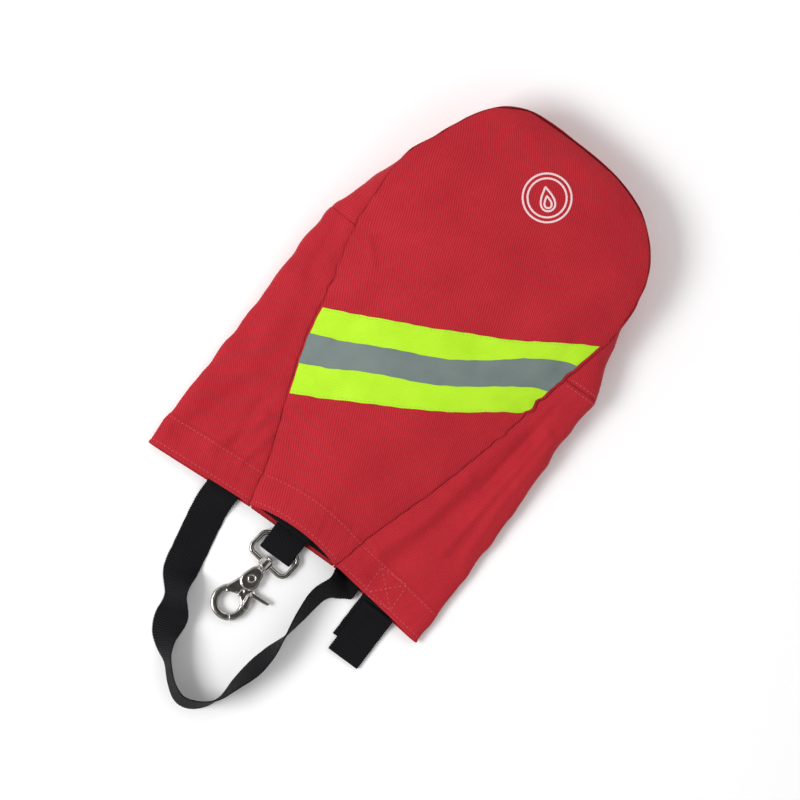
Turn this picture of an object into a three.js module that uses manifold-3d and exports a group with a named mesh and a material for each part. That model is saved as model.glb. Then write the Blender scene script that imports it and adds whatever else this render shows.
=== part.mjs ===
// A soft carrying bag for a firefighter's breathing mask, lying on its back with its mouth slightly open.
// Millimetres. +X runs across the bag, +Y from the mouth to the closed end, +Z out of the front panel.
// Inside this file Y is counted from the mouth; the finished group is shifted so that its origin is the
// middle of the back panel's resting face.
import * as THREE from "three";
import { mergeVertices } from "three/addons/utils/BufferGeometryUtils.js";
import Module from "manifold-3d";

const wasm = await Module();
wasm.setup();

// ---------- driving dimensions ----------
const BACK_MIDDLE = 170; // distance from the mouth to the origin, along Y
const FABRIC = 0.8; // woven outer fabric
const LINING = 1.2; // fleece lining
const PLY_STEP = 1.9; // middle of the fabric to the middle of the lining
const SEAM_GAP = 0.9; // clearance between two panels along a seam
const WEBBING_WIDTH = 25;
const WEBBING = 1.4;
const TAPE = 0.4; // reflective trim and print film
const CLOSURE_TAPE = 1.0; // hook and loop tape inside the mouth
const MOUTH_HINGE = 2; // Y of the line the strap and tabs flex about
const LOOP_HINGE = 8; // Y of the line the snap loop flexes about, over the back of the mouth
const ANCHOR_DEPTH = 30; // how far the webbing runs into the mouth

// The bag's rim, from the mouth to the closed end. Each row holds the left seam, left fold, right seam
// and right fold as [x, y], and then the heights of the seams and of the folds. At a seam the front panel
// is sewn to the gusset, and at a fold the gusset turns from the front to the back.
const RIM = [
  [[-33, 8], [-114, 1], [38, 9], [113.2, -1], 10.5, 5],
  [[-41, 42], [-113, 45], [46, 42], [114, 45], 11.5, 6],
  [[-57, 85], [-111.5, 90], [60, 85], [114.5, 90], 14, 7.5],
  [[-70, 125], [-110.5, 130], [71, 125], [114, 130], 18, 9.5],
  [[-76.5, 160], [-110.5, 170], [80, 163], [112.3, 168], 23, 12],
  [[-87, 203], [-108, 203], [88, 203], [114, 203], 28, 14.5],
  [[-88.5, 233], [-98, 233], [96, 237], [103, 235], 31, 16],
  [[-88, 260], [-88, 258], [97, 263], [96, 262], 33, 17],
  [[-76.5, 288], [-73, 285], [91, 292], [87, 290], 34, 17.5],
  [[-60, 319.5], [-57, 316], [67.5, 320], [65.5, 316], 34, 17.5],
  [[-38, 333.5], [-37, 330], [37, 332], [36.5, 328], 33, 17],
].map(([left, leftFold, right, rightFold, seamZ, foldZ]) => {
  return { left, leftFold, right, rightFold, seamZ, foldZ };
});
const TIP = { seam: [0, 335.2, 33], fold: [0, 331.5, 17] }; // the rim's middle, at the closed end
const CROSS_SEAM = 5; // the RIM row where the side gussets meet the end gusset
const ROUND_FROM_Y = 240; // past this, outwards turns from sideways to radial

// ---------- helpers ----------
const vec = (x, y, z) => new THREE.Vector3(x, y, z);
const degrees = THREE.MathUtils.degToRad;
const curve = (points) => new THREE.CatmullRomCurve3(points, false, "centripetal");

// Only positions are kept, with shared vertices merged, so that the surface closes.
function bare(geometry) {
  geometry.deleteAttribute("normal");
  geometry.deleteAttribute("uv");
  return mergeVertices(geometry, 1e-4);
}

function solidOf(geometry) {
  const merged = bare(geometry.clone());
  return new wasm.Manifold(
    new wasm.Mesh({
      numProp: 3,
      vertProperties: merged.attributes.position.array,
      triVerts: new Uint32Array(merged.index.array),
    }),
  );
}

function geometryOf(solid) {
  const mesh = solid.getMesh();
  const geometry = new THREE.BufferGeometry();
  geometry.setAttribute("position", new THREE.BufferAttribute(mesh.vertProperties, 3));
  return geometry.setIndex(new THREE.BufferAttribute(mesh.triVerts, 1));
}

function normalAt(surface, u, v) {
  const step = 1e-3;
  const [u0, u1] = [Math.max(0, u - step), Math.min(1, u + step)];
  const [v0, v1] = [Math.max(0, v - step), Math.min(1, v + step)];
  const along = surface(u1, v).sub(surface(u0, v));
  return along.cross(surface(u, v1).sub(surface(u, v0))).normalize();
}

// A box of the given cell counts bent over a surface: a sheet of even thickness, raised by lift.
function sheet(surface, across, along, thickness, lift = 0) {
  const box = new THREE.BoxGeometry(1, 1, 1, across, along, 1);
  const at = box.attributes.position;
  for (let i = 0; i < at.count; i++) {
    const u = at.getX(i) + 0.5;
    const v = at.getY(i) + 0.5;
    const p = surface(u, v).addScaledVector(normalAt(surface, u, v), lift + at.getZ(i) * thickness);
    at.setXYZ(i, p.x, p.y, p.z);
  }
  return bare(box);
}

// The part of a surface between two corners of its (u, v) square.
function patch(surface, [u0, v0], [u1, v1]) {
  return (u, v) => surface(u0 + (u1 - u0) * u, v0 + (v1 - v0) * v);
}

function flatPlate(shape, thickness, z) {
  const plate = new THREE.ExtrudeGeometry(shape, { depth: thickness, bevelEnabled: false });
  return bare(plate.translate(0, 0, z));
}

// ---------- materials ----------
const material = (color, roughness, metalness = 0) =>
  new THREE.MeshStandardMaterial({ color, roughness, metalness });
const redFabric = material(0xbe2e38, 0.85);
const fleece = material(0x1c1c1e, 0.95);
const blackWebbing = material(0x161618, 0.8);
const limeTape = material(0xbced31, 0.6);
const silverTape = material(0x6e7f7a, 0.4);
const print = material(0xead6d8, 0.7);
const nickel = material(0xb9b5ac, 0.22, 1);

const bag = new THREE.Group();
bag.position.y = -BACK_MIDDLE;

function add(parent, name, geometry, finish) {
  const mesh = new THREE.Mesh(geometry, finish);
  mesh.name = name;
  parent.add(mesh);
}

// ---------- rim curves ----------
const outwardFrom = (x, y) => vec(x, Math.max(0, y - ROUND_FROM_Y), 0).normalize();

const seamPoint = (row, side) => vec(...row[side], row.seamZ);
const foldPoint = (row, side) => vec(...row[side + "Fold"], row.foldZ);

// The back panel is cut to the front panel's outline, a little smaller.
function backPoint([x, y]) {
  return vec(x * 0.97, y - 2, FABRIC / 2);
}

// Rim points in order round the bag, moved outwards and upwards to clear a neighbour or to nest a lining.
function rimCurve(points, outward, up) {
  const moved = (p) => vec(p.x, p.y, p.z + up).addScaledVector(outwardFrom(p.x, p.y), outward);
  return curve(points.map(moved));
}

const sideRows = RIM.slice(0, CROSS_SEAM + 1);
const endRows = RIM.slice(CROSS_SEAM);
const roundTheEnd = (left, tip, right) => [...endRows.map(left), tip, ...[...endRows].reverse().map(right)];

const RIM_PATHS = {
  left: {
    seam: sideRows.map((r) => seamPoint(r, "left")),
    fold: sideRows.map((r) => foldPoint(r, "left")),
    back: sideRows.map((r) => backPoint(r.left)),
  },
  right: {
    seam: sideRows.map((r) => seamPoint(r, "right")),
    fold: sideRows.map((r) => foldPoint(r, "right")),
    back: sideRows.map((r) => backPoint(r.right)),
  },
  end: {
    seam: roundTheEnd((r) => seamPoint(r, "left"), vec(...TIP.seam), (r) => seamPoint(r, "right")),
    fold: roundTheEnd((r) => foldPoint(r, "left"), vec(...TIP.fold), (r) => foldPoint(r, "right")),
    back: roundTheEnd((r) => backPoint(r.left), backPoint(TIP.seam), (r) => backPoint(r.right)),
  },
};

// A gusset's surface: u runs along the rim, v from the front seam over the fold to the back seam.
// A wide gusset lies flat with a blunt fold, a narrow one stands as a shallow arc.
function gussetSurface(seam, fold, back) {
  const flatReach = 35;
  const narrowSweep = 35; // degrees each way from the fold
  return (u, v) => {
    const front = seam.getPoint(u);
    const rear = back.getPoint(u);
    const reach = fold.getPoint(u).sub(front.clone().lerp(rear, 0.5));
    const flatness = Math.min(Math.hypot(reach.x, reach.y) / flatReach, 1);
    const sweep = degrees(THREE.MathUtils.lerp(narrowSweep, 90, flatness));
    const angle = sweep * (1 - 2 * v);
    const height = Math.sign(angle) * Math.abs(Math.sin(angle) / Math.sin(sweep)) ** (1 - 0.5 * flatness);
    const bulge = (Math.cos(angle) - Math.cos(sweep)) / (1 - Math.cos(sweep));
    return front.lerp(rear, (1 - height) / 2).addScaledVector(reach, bulge);
  };
}

const GUSSET_CELLS = 8;

// span is the part of the rim it covers, which stops short of the cross seam.
const BACK_GAP = 1.3; // clearance between a gusset and the edge of the back panel
function addGusset(name, path, span, cells, lining) {
  const whole = gussetSurface(
    rimCurve(path.seam, SEAM_GAP, -SEAM_GAP),
    rimCurve(path.fold, 0, 0),
    rimCurve(path.back, BACK_GAP, 0),
  );
  const outer = patch(whole, [span[0], 0], [span[1], 1]);
  add(bag, `${name}_gusset`, sheet(outer, cells, GUSSET_CELLS, FABRIC), redFabric);
  add(bag, `${name}_gusset_lining`, lining(outer, path, span, cells), fleece);
}

// A side gusset is too sharply folded to offset, so its lining is a smaller gusset nested in it.
// Each entry moves one rim curve outwards and upwards.
const NEST = { seam: [1, -2.2], fold: [-3.5, 0], back: [1.5, PLY_STEP] };
function sideLining(outer, path, span, cells) {
  const inner = gussetSurface(
    rimCurve(path.seam, ...NEST.seam),
    rimCurve(path.fold, ...NEST.fold),
    rimCurve(path.back, ...NEST.back),
  );
  return sheet(patch(inner, [span[0], 0], [span[1], 1]), cells, GUSSET_CELLS, LINING);
}
function endLining(outer, path, span, cells) {
  return sheet(patch(outer, [0, 0.09], [1, 0.9]), cells, GUSSET_CELLS, LINING, -PLY_STEP);
}
const SIDE_SPAN = [0, 0.997];
const END_SPAN = [0.001, 0.999];
addGusset("left", RIM_PATHS.left, SIDE_SPAN, 10, sideLining);
addGusset("right", RIM_PATHS.right, SIDE_SPAN, 10, sideLining);
addGusset("end", RIM_PATHS.end, END_SPAN, 26, endLining);

// ---------- front panel ----------
const leftSeam = curve(RIM.map((r) => seamPoint(r, "left")));
const rightSeam = curve(RIM.map((r) => seamPoint(r, "right")));
const MOUTH_ARCH = 5.5; // the front of the mouth is pulled up and back in its middle
const END_BULGE = TIP.seam[1] - RIM.at(-1).left[1];

// u runs from the left seam to the right one, v from the mouth to the closed end.
function frontSurface(u, v) {
  const middle = 1 - (2 * u - 1) ** 2;
  const crown = (4.5 + 8.5 * Math.sin(0.9 * Math.PI * v)) * Math.sqrt(1 - v ** 8);
  const p = leftSeam.getPoint(v).lerp(rightSeam.getPoint(v), u);
  p.y += middle * (MOUTH_ARCH * Math.exp(-12 * v) + END_BULGE * v ** 12);
  p.z += crown * middle ** 0.8;
  return p;
}

const FRONT_ACROSS = 10;
const FRONT_ALONG = 20;
add(bag, "front_panel", sheet(frontSurface, FRONT_ACROSS, FRONT_ALONG, FABRIC), redFabric);
const frontLining = patch(frontSurface, [0.04, 0.004], [0.96, 0.98]);
add(bag, "front_lining", sheet(frontLining, FRONT_ACROSS, FRONT_ALONG, LINING, -PLY_STEP), fleece);
const hookTape = patch(frontSurface, [0.08, 0.012], [0.92, 0.085]);
const HOOK_TAPE_LIFT = -(PLY_STEP + LINING / 2 + CLOSURE_TAPE / 2 + 0.4);
add(bag, "mouth_hook_tape", sheet(hookTape, 10, 3, CLOSURE_TAPE, HOOK_TAPE_LIFT), blackWebbing);

// The trim crosses the front on a slant, from seam to seam, and waves where the fabric buckles. Its lower
// and upper edges are [across, along] stations on the front.
const TRIM_LOW = [
  [0, 0.199], [0.2, 0.225], [0.4, 0.259], [0.58, 0.293], [0.69, 0.32],
  [0.79, 0.348], [0.88, 0.38], [0.95, 0.404], [1, 0.416],
];
const TRIM_HIGH = [
  [0, 0.357], [0.1, 0.374], [0.26, 0.404], [0.47, 0.439], [0.66, 0.479],
  [0.75, 0.5], [0.83, 0.532], [0.91, 0.564], [0.97, 0.589], [1, 0.595],
];
const TRIM_INSET = 0.012;

function between(stations, x) {
  const next = Math.max(1, stations.findIndex(([at]) => at >= x));
  const [[x0, y0], [x1, y1]] = [stations[next - 1], stations[next]];
  return y0 + ((y1 - y0) * (x - x0)) / (x1 - x0);
}

function trimSurface(u, v) {
  const across = TRIM_INSET + (1 - 2 * TRIM_INSET) * u;
  const low = between(TRIM_LOW, across);
  const high = between(TRIM_HIGH, across);
  return frontSurface(across, low + (high - low) * v);
}

const LIME_LIFT = FABRIC / 2 + TAPE / 2 + 0.3;
add(bag, "lime_trim", sheet(trimSurface, 18, 4, TAPE, LIME_LIFT), limeTape);
// The silver band wanders on the lime tape where that buckles: [across, share of the lime's height].
const SILVER_LOW = [
  [0, 0.317], [0.17, 0.317], [0.42, 0.36], [0.6, 0.356], [0.68, 0.368],
  [0.77, 0.389], [0.83, 0.376], [0.94, 0.338], [1, 0.305],
];
const SILVER_HIGH = [
  [0, 0.652], [0.17, 0.646], [0.42, 0.703], [0.6, 0.692], [0.68, 0.713],
  [0.77, 0.738], [0.83, 0.743], [0.94, 0.725], [1, 0.685],
];

function silverBand(u, v) {
  const low = between(SILVER_LOW, u);
  return trimSurface(u, low + (between(SILVER_HIGH, u) - low) * v);
}
add(bag, "silver_trim", sheet(silverBand, 18, 2, TAPE, LIME_LIFT + TAPE + 0.3), silverTape);

// The printed badge is a rounded film on the closed end.
const BADGE = { u: 0.492, v: 0.807, halfU: 0.115, halfV: 0.056 };

function badgeSurface(u, v) {
  const [x, y] = [2 * u - 1, 2 * v - 1];
  const across = BADGE.halfU * x * Math.sqrt(1 - (y * y) / 2); // square to disc
  const along = BADGE.halfV * y * Math.sqrt(1 - (x * x) / 2);
  return frontSurface(BADGE.u + across, BADGE.v + along);
}
add(bag, "printed_badge", sheet(badgeSurface, 6, 6, TAPE, LIME_LIFT), print);

// ---------- back panel ----------
function backShape(inset) {
  const pulledIn = (p, row) => {
    const fromMouth = row === 0 ? inset : 0;
    return p.addScaledVector(outwardFrom(p.x, p.y), -inset).add(vec(0, fromMouth, 0));
  };
  const edge = (side) => RIM.map((r) => backPoint(r[side])).map(pulledIn);
  const left = curve(edge("left")).getPoints(40);
  const right = curve(edge("right")).getPoints(40).reverse();
  const tip = backPoint(TIP.seam).add(vec(0, -inset, 0));
  const far = curve([left.at(-1), tip, right[0]]).getPoints(8).slice(1, -1);
  return new THREE.Shape([...left, ...far, ...right].map((p) => new THREE.Vector2(p.x, p.y)));
}
add(bag, "back_panel", flatPlate(backShape(0), FABRIC, 0), redFabric);
const BACK_LINING_INSET = 4.5;
const BACK_LINING_Z = FABRIC / 2 + PLY_STEP - LINING / 2; // its lower face
add(bag, "back_lining", flatPlate(backShape(BACK_LINING_INSET), LINING, BACK_LINING_Z), fleece);

// ---------- webbing at the mouth ----------
const SEWN_Z = 4.3; // middle of the lowest webbing ply inside the mouth
const PLY = WEBBING + 0.25; // from ply to ply where two plies lie together
const SEWN_GAP = 0.5; // between a sewn end and the loose webbing that continues it

function sewnEnd(name, x, hingeY, plies) {
  const height = WEBBING + (plies - 1) * PLY;
  const length = ANCHOR_DEPTH - hingeY - SEWN_GAP;
  const end = new THREE.BoxGeometry(WEBBING_WIDTH, length, height);
  end.translate(x, hingeY + SEWN_GAP + length / 2, SEWN_Z - WEBBING / 2 + height / 2);
  add(bag, name, bare(end), blackWebbing);
}
const STRAP_X = { left: -54, right: 50.5 };
const TAB_X = { lower: 77, upper: 80.5 };
const SNAP_X = 1.2;
sewnEnd("strap_left_end", STRAP_X.left, MOUTH_HINGE, 1);
sewnEnd("strap_right_end", STRAP_X.right, MOUTH_HINGE, 1);
sewnEnd("tab_sewn_end", TAB_X.lower, MOUTH_HINGE, 2);
sewnEnd("snap_loop_sewn_end", SNAP_X, LOOP_HINGE, 2);

// The loop tape lies on the back lining and climbs over the snap loop's sewn end.
function loopTapeSurface(u, v) {
  const x = THREE.MathUtils.lerp(-31, 34, u);
  const climb = 1 / (1 + Math.exp((Math.abs(x - SNAP_X) - 15) / 0.7));
  return vec(x, THREE.MathUtils.lerp(9.5, 33, v), 3.8 + 3.8 * climb);
}
add(bag, "mouth_loop_tape", sheet(loopTapeSurface, 26, 1, CLOSURE_TAPE), blackWebbing);

// The carrying strap's loose run. It lies flat at its left end, then turns on its edge and twists.
// lean is the webbing's angle to the floor in degrees, lift the height of its lower edge.
const STRAP = [
  { x: -54.3, y: 1.4, lean: 0, lift: 3.5 },
  { x: -54, y: -8, lean: 0, lift: 1.0 },
  { x: -51.7, y: -22, lean: 0, lift: 0.1 },
  { x: -47.6, y: -43, lean: 0, lift: 0.1 },
  { x: -45.4, y: -54, lean: 5, lift: 0.3 },
  { x: -42.2, y: -62.5, lean: 32, lift: 0.8 },
  { x: -37.6, y: -70.5, lean: 50, lift: 1.2 },
  { x: -33.4, y: -78, lean: 38, lift: 0.8 },
  { x: -31, y: -84, lean: 20, lift: 0.6 },
  { x: -29.8, y: -90, lean: 24, lift: 0.3 },
  { x: -27, y: -97.5, lean: 41, lift: 0.2 },
  { x: -21.8, y: -104.5, lean: 60, lift: 0.2 },
  { x: -13.5, y: -112, lean: 76, lift: 0.2 },
  { x: -3.5, y: -121.5, lean: 74, lift: 0.2 },
  { x: 8.5, y: -127, lean: 68, lift: 0.2 },
  { x: 20.5, y: -121.3, lean: 75, lift: 0.2 },
  { x: 28.6, y: -110, lean: 91, lift: 0.2 },
  { x: 31.5, y: -96, lean: 105, lift: 0.2 },
  { x: 35.6, y: -79, lean: 116, lift: 0.2 },
  { x: 38, y: -64, lean: 109, lift: 0.2 },
  { x: 39.6, y: -50, lean: 90, lift: 0.2 },
  { x: 39.8, y: -34, lean: 75, lift: 0.2 },
  { x: 40.2, y: -19, lean: 66, lift: 0.2 },
  { x: 40.9, y: -13.4, lean: 63, lift: 0.2 },
  { x: 42.9, y: -8.6, lean: 61, lift: 0.2 },
  { x: 45.9, y: -4.4, lean: 54, lift: 0.4 },
  { x: 48.3, y: -1.4, lean: 42, lift: 0.8 },
  { x: 49.7, y: 1.4, lean: 30, lift: 1.4 },
];

function strapSurface(stations) {
  const path = curve(stations.map((s) => vec(s.x, s.y, 0)));
  // Lifts in tenths of a millimetre weigh about as much in the curve as leans in degrees.
  const pose = curve(stations.map((s) => vec(s.lean, s.lift * 10, 0)));
  return (u, v) => {
    const heading = path.getTangent(v);
    const { x: lean, y: liftTenths } = pose.getPoint(v);
    const [rise, run] = [Math.sin(degrees(lean)), Math.cos(degrees(lean))];
    const across = vec(-heading.y * run, heading.x * run, rise);
    const middle = path.getPoint(v);
    middle.z = liftTenths / 10 + (Math.abs(rise) * WEBBING_WIDTH + Math.abs(run) * WEBBING) / 2;
    return middle.addScaledVector(across, (u - 0.5) * WEBBING_WIDTH);
  };
}
add(bag, "carry_strap", sheet(strapSurface(STRAP), 1, 90, WEBBING), blackWebbing);

// A keeper of two loose tabs, one on the other. Each drops from the mouth to the floor.
function tabSurface(x, restZ, mouthZ, end, skew) {
  return (u, v) => {
    const y = THREE.MathUtils.lerp(MOUTH_HINGE - SEWN_GAP, end, v);
    const drop = 1 - Math.exp(Math.min(0, y + 1.5) / 4);
    return vec(x + skew * v + (u - 0.5) * WEBBING_WIDTH, y, THREE.MathUtils.lerp(mouthZ, restZ, drop));
  };
}
const TAB_REST_Z = WEBBING / 2 + 0.1;
const TAB_END = { lower: -29.5, upper: -39.5 };
const TAB_SKEW = -0.5;
const lowerTab = tabSurface(TAB_X.lower, TAB_REST_Z, SEWN_Z, TAB_END.lower, TAB_SKEW);
add(bag, "keeper_tab_lower", sheet(lowerTab, 1, 12, WEBBING), blackWebbing);
const upperTab = tabSurface(TAB_X.upper, TAB_REST_Z + PLY, SEWN_Z + PLY, TAB_END.upper, TAB_SKEW);
add(bag, "keeper_tab_upper", sheet(upperTab, 1, 14, WEBBING), blackWebbing);

// ---------- trigger snap ----------
// Its own frame: the origin is the eye's bar, -Y runs from the bar to the hook, +Z up.
const SNAP = { x: 1.5, y: -1, z: 3.8, turn: degrees(-7) };
const snap = new THREE.Group();
snap.position.set(SNAP.x, SNAP.y, SNAP.z);
snap.rotation.z = SNAP.turn;
bag.add(snap);

const WIRE_R = 1.7;
const EYE = { halfWidth: 15.8, bottom: -17.5, corner: 6.5 };
const HUB = { r: 3.5, spread: 1.3, from: -14.2, to: -20.6, bore: 2.15 };
const POST = { r: 1.85, headR: 2.9, head: 1.5 };
const PIVOT_Y = -31.3;
const RING = { y: -53.6, outer: 12.9, inner: 7.2 };
const CHEEK = 3.3; // half the housing's thickness
const SLOT = 1.55; // half the slot's height
const PIN_R = 1.5;
const ROUND = 20;

// A flat shape given rounded edges, centred on z = 0.
function cast(shape, halfThickness, bevel) {
  const solid = new THREE.ExtrudeGeometry(shape, {
    depth: 2 * (halfThickness - bevel),
    bevelThickness: bevel,
    bevelSize: bevel,
    bevelOffset: -bevel,
    bevelSegments: 1,
    curveSegments: 8,
  });
  return solidOf(solid.translate(0, 0, bevel - halfThickness));
}

// A turned piece on the Y axis, from [radius, y] points that start and end on the axis.
function turned(profile, segments = ROUND) {
  return solidOf(new THREE.LatheGeometry(profile.map(([r, y]) => new THREE.Vector2(r, y)), segments));
}
const rod = (r, y0, y1) => turned([[0, y0], [r, y0], [r, y1], [0, y1]]);
// A rod along Z through (x, y).
function pinAt(r, x, y, halfLength) {
  return rod(r, -halfLength, halfLength).rotate([90, 0, 0]).translate([x, y, 0]);
}

function roundedRectangle(halfWidth, y0, y1, corner) {
  const shape = new THREE.Shape();
  shape.moveTo(halfWidth, y1 - corner);
  shape.absarc(halfWidth - corner, y1 - corner, corner, 0, Math.PI / 2);
  shape.absarc(corner - halfWidth, y1 - corner, corner, Math.PI / 2, Math.PI);
  shape.absarc(corner - halfWidth, y0 + corner, corner, Math.PI, 1.5 * Math.PI);
  shape.absarc(halfWidth - corner, y0 + corner, corner, 1.5 * Math.PI, 2 * Math.PI);
  shape.closePath();
  return shape;
}

// Swivel eye: a wire frame for the webbing, with a hub for the post.
function swivelEye() {
  const outline = roundedRectangle(EYE.halfWidth + WIRE_R, EYE.bottom - WIRE_R, WIRE_R, EYE.corner);
  const innerCorner = EYE.corner - 2 * WIRE_R;
  outline.holes.push(roundedRectangle(EYE.halfWidth - WIRE_R, EYE.bottom + WIRE_R, -WIRE_R, innerCorner));
  const hub = rod(HUB.r, HUB.to, HUB.from).scale([HUB.spread, 1, 1]);
  const bore = rod(HUB.bore, HUB.to - 1, HUB.from + 1);
  return geometryOf(cast(outline, WIRE_R, 0.9).add(hub).subtract(bore));
}

// Swivel post: headed inside the eye, set into the hook's neck.
const POST_END = -25.5;
const post = turned([
  [0, POST_END],
  [POST.r, POST_END],
  [POST.r, HUB.from + 0.3],
  [POST.headR, HUB.from + 0.3],
  [POST.headR, HUB.from + 0.3 + POST.head * 0.5],
  [POST.headR * 0.75, HUB.from + 0.3 + POST.head],
  [0, HUB.from + 0.3 + POST.head],
]);

// The hook's ring, with a rounded section, cut to the sector between two angles.
function ringSector(from, to, halfThickness = RING_HALF) {
  const middle = (RING.inner + RING.outer) / 2;
  const halfWidth = (RING.outer - RING.inner) / 2;
  const soft = (value) => Math.sign(value) * Math.abs(value) ** 0.6;
  const section = Array.from({ length: 13 }, (_, i) => {
    const angle = (2 * Math.PI * (i % 12)) / 12;
    return [middle + halfWidth * soft(Math.cos(angle)), halfThickness * soft(Math.sin(angle))];
  });
  const pie = new THREE.Shape();
  const far = 3 * RING.outer;
  pie.moveTo(0, RING.y);
  pie.lineTo(far * Math.cos(from), RING.y + far * Math.sin(from));
  pie.absarc(0, RING.y, far, from, to, false);
  pie.closePath();
  const ring = turned(section, 2 * ROUND).rotate([90, 0, 0]).translate([0, RING.y, 0]);
  const wedge = new THREE.ExtrudeGeometry(pie, { depth: 2 * CHEEK, bevelEnabled: false, curveSegments: 16 });
  return ring.intersect(solidOf(wedge.translate(0, 0, -CHEEK)));
}

// A tapering bar with round ends, from one circle to another.
function taperedBar([x0, y0, r0], [x1, y1, r1]) {
  const heading = Math.atan2(y1 - y0, x1 - x0);
  const spread = Math.acos((r0 - r1) / Math.hypot(x1 - x0, y1 - y0));
  const shape = new THREE.Shape();
  shape.absarc(x0, y0, r0, heading + spread, heading - spread + 2 * Math.PI, false);
  shape.absarc(x1, y1, r1, heading - spread, heading + spread, false);
  shape.closePath();
  return shape;
}

// The gate turns about the rivet, so the housing is slotted for its whole sweep.
const NOSE = degrees(-48); // where the gate's tip meets the hook's nose
const NOSE_GAP = degrees(1.6);
const RING_HALF = 2.7; // half the ring's thickness
const RING_SPLIT = degrees(88); // where the ring's top passes from the body to the gate
const ARM_HALF = 1.3;

function hookBody() {
  const housing = cast(taperedBar([0, -27.2, 5.3], [0.2, -33.2, 6.8]), CHEEK, 1);
  const neck = rod(3.2, -26, HUB.to - 0.35);
  const arm = cast(taperedBar([-0.5, -33, 5.2], [-5.2, -46, 4.1]), RING_HALF, 1);
  const ring = ringSector(RING_SPLIT, 2 * Math.PI + NOSE - NOSE_GAP);
  const chin = cast(taperedBar([-1.9, -39, 2.6], [-3.4, -43.5, 2.9]), RING_HALF, 0.9);
  const slotShape = new THREE.Shape();
  slotShape.moveTo(-4.9, PIVOT_Y + 4.7);
  slotShape.lineTo(14, PIVOT_Y + 4.7);
  slotShape.lineTo(14, -42.5);
  slotShape.lineTo(4, -49.5);
  slotShape.lineTo(-5.2, -49.5);
  slotShape.lineTo(-6.9, -45.2);
  slotShape.lineTo(-4.9, -39.3);
  slotShape.closePath();
  const slot = cast(slotShape, SLOT, 0.01);
  const window = rod(RING.inner, -CHEEK - 1, CHEEK + 1).rotate([90, 0, 0]).translate([0, RING.y, 0]);
  const bore = pinAt(PIN_R + 0.25, 0, PIVOT_Y, CHEEK + 1);
  const sinks = [-1, 1].map((s) => pinAt(2.75, 0, PIVOT_Y, 0.4).translate([0, 0, s * (CHEEK - 0.1)]));
  const socket = rod(POST.r + 0.25, POST_END - 0.3, HUB.to + 1);
  let body = housing.add(neck).add(arm).add(chin).add(ring);
  for (const cutter of [slot, window, bore, socket, ...sinks]) body = body.subtract(cutter);
  return geometryOf(body);
}

// The gate: a thin hub and arm in the slot, the ring's right side, and the thumb lever.
function gateLever() {
  const hub = cast(taperedBar([0, PIVOT_Y, 4], [3.6, -39.5, 2.6]), ARM_HALF, 0.3);
  const arm = cast(taperedBar([3.6, -39.5, 2.4], [9.3, -46.5, 2.5]), ARM_HALF, 0.3);
  const root = cast(taperedBar([7.6, -41.6, 1.9], [9.9, -48.6, 2.55]), RING_HALF, 0.9);
  const side = ringSector(NOSE + NOSE_GAP, degrees(30));
  const top = ringSector(degrees(26), RING_SPLIT - degrees(2), ARM_HALF);
  const thumb = cast(taperedBar([8.2, -39.2, 2], [19.6, -36.6, 1.5]), 1.7, 0.6);
  const web = cast(taperedBar([3.6, -38.6, 2.2], [9.6, -38.8, 1.9]), ARM_HALF, 0.3);
  const recess = pinAt(4.6, 0, PIVOT_Y, 1).translate([0, 0, 1.1]);
  const bore = pinAt(PIN_R + 0.06, 0, PIVOT_Y, CHEEK);
  const window = pinAt(RING.inner, 0, RING.y, CHEEK);
  const lever = hub.add(arm).add(web).add(root).add(side).add(top).add(thumb);
  return geometryOf(lever.subtract(recess).subtract(bore).subtract(window));
}

// Rivet: a shaft with two flat heads, sunk in the cheeks.
function gateRivet() {
  const head = (s) => pinAt(2.5, 0, PIVOT_Y, 0.25).translate([0, 0, s * (CHEEK - 0.15)]);
  return geometryOf(pinAt(PIN_R, 0, PIVOT_Y, CHEEK - 0.1).add(head(-1)).add(head(1)));
}

// Gate spring: a coil of wire round the rivet, in the recess above the gate's hub.
const SPRING = { r: 2.35, wire: 0.22, turns: 1.6, z: 0.48, rise: 0.66 };
class SpringPath extends THREE.Curve {
  getPoint(t, target = new THREE.Vector3()) {
    const turn = 2 * Math.PI * SPRING.turns * t + Math.PI;
    const z = SPRING.z + SPRING.rise * t;
    return target.set(SPRING.r * Math.cos(turn), PIVOT_Y + SPRING.r * Math.sin(turn), z);
  }
}
function gateSpring() {
  const wire = new THREE.Shape().absarc(0, 0, SPRING.wire, 0, 2 * Math.PI);
  const path = new SpringPath();
  return bare(new THREE.ExtrudeGeometry(wire, { extrudePath: path, steps: 26, curveSegments: 2 }));
}

add(snap, "swivel_eye", swivelEye(), nickel);
add(snap, "swivel_post", geometryOf(post), nickel);
add(snap, "hook_body", hookBody(), nickel);
add(snap, "gate_lever", gateLever(), nickel);
add(snap, "gate_rivet", gateRivet(), nickel);
add(snap, "gate_spring", gateSpring(), nickel);

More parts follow.
